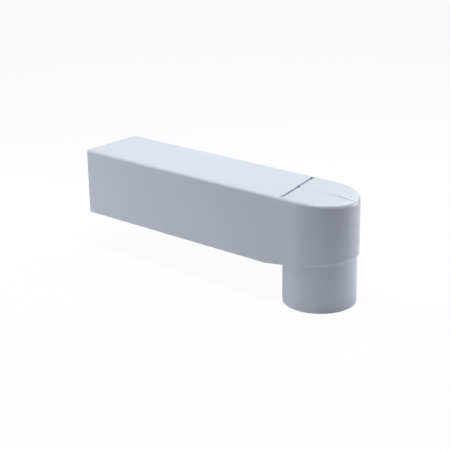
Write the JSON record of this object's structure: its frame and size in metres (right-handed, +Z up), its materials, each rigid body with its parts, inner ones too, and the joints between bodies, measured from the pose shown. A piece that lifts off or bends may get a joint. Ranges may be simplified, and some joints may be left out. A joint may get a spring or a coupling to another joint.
{
  "type": "rainwater outlet with rectangular duct and round spigot",
  "caption": "PVC rainwater outlet moulded as a single body: an open-ended rectangular duct whose rounded head turns the water down a round spigot into a downpipe.",
  "frame": {"origin": "on the round spigot's axis, in the plane of its lower rim", "axes": "+X from the duct's open end towards the rounded nose, +Y across the duct, +Z up, away from the downpipe"},
  "size_m": [0.357, 0.083, 0.122],
  "materials": {
    "rigid_pvc": "smooth moulded rigid PVC, pale blue-grey, satin"
  },
  "bodies": {
    "root": {"outlet_body": "rigid_pvc"}
  },
  "joints": []
}
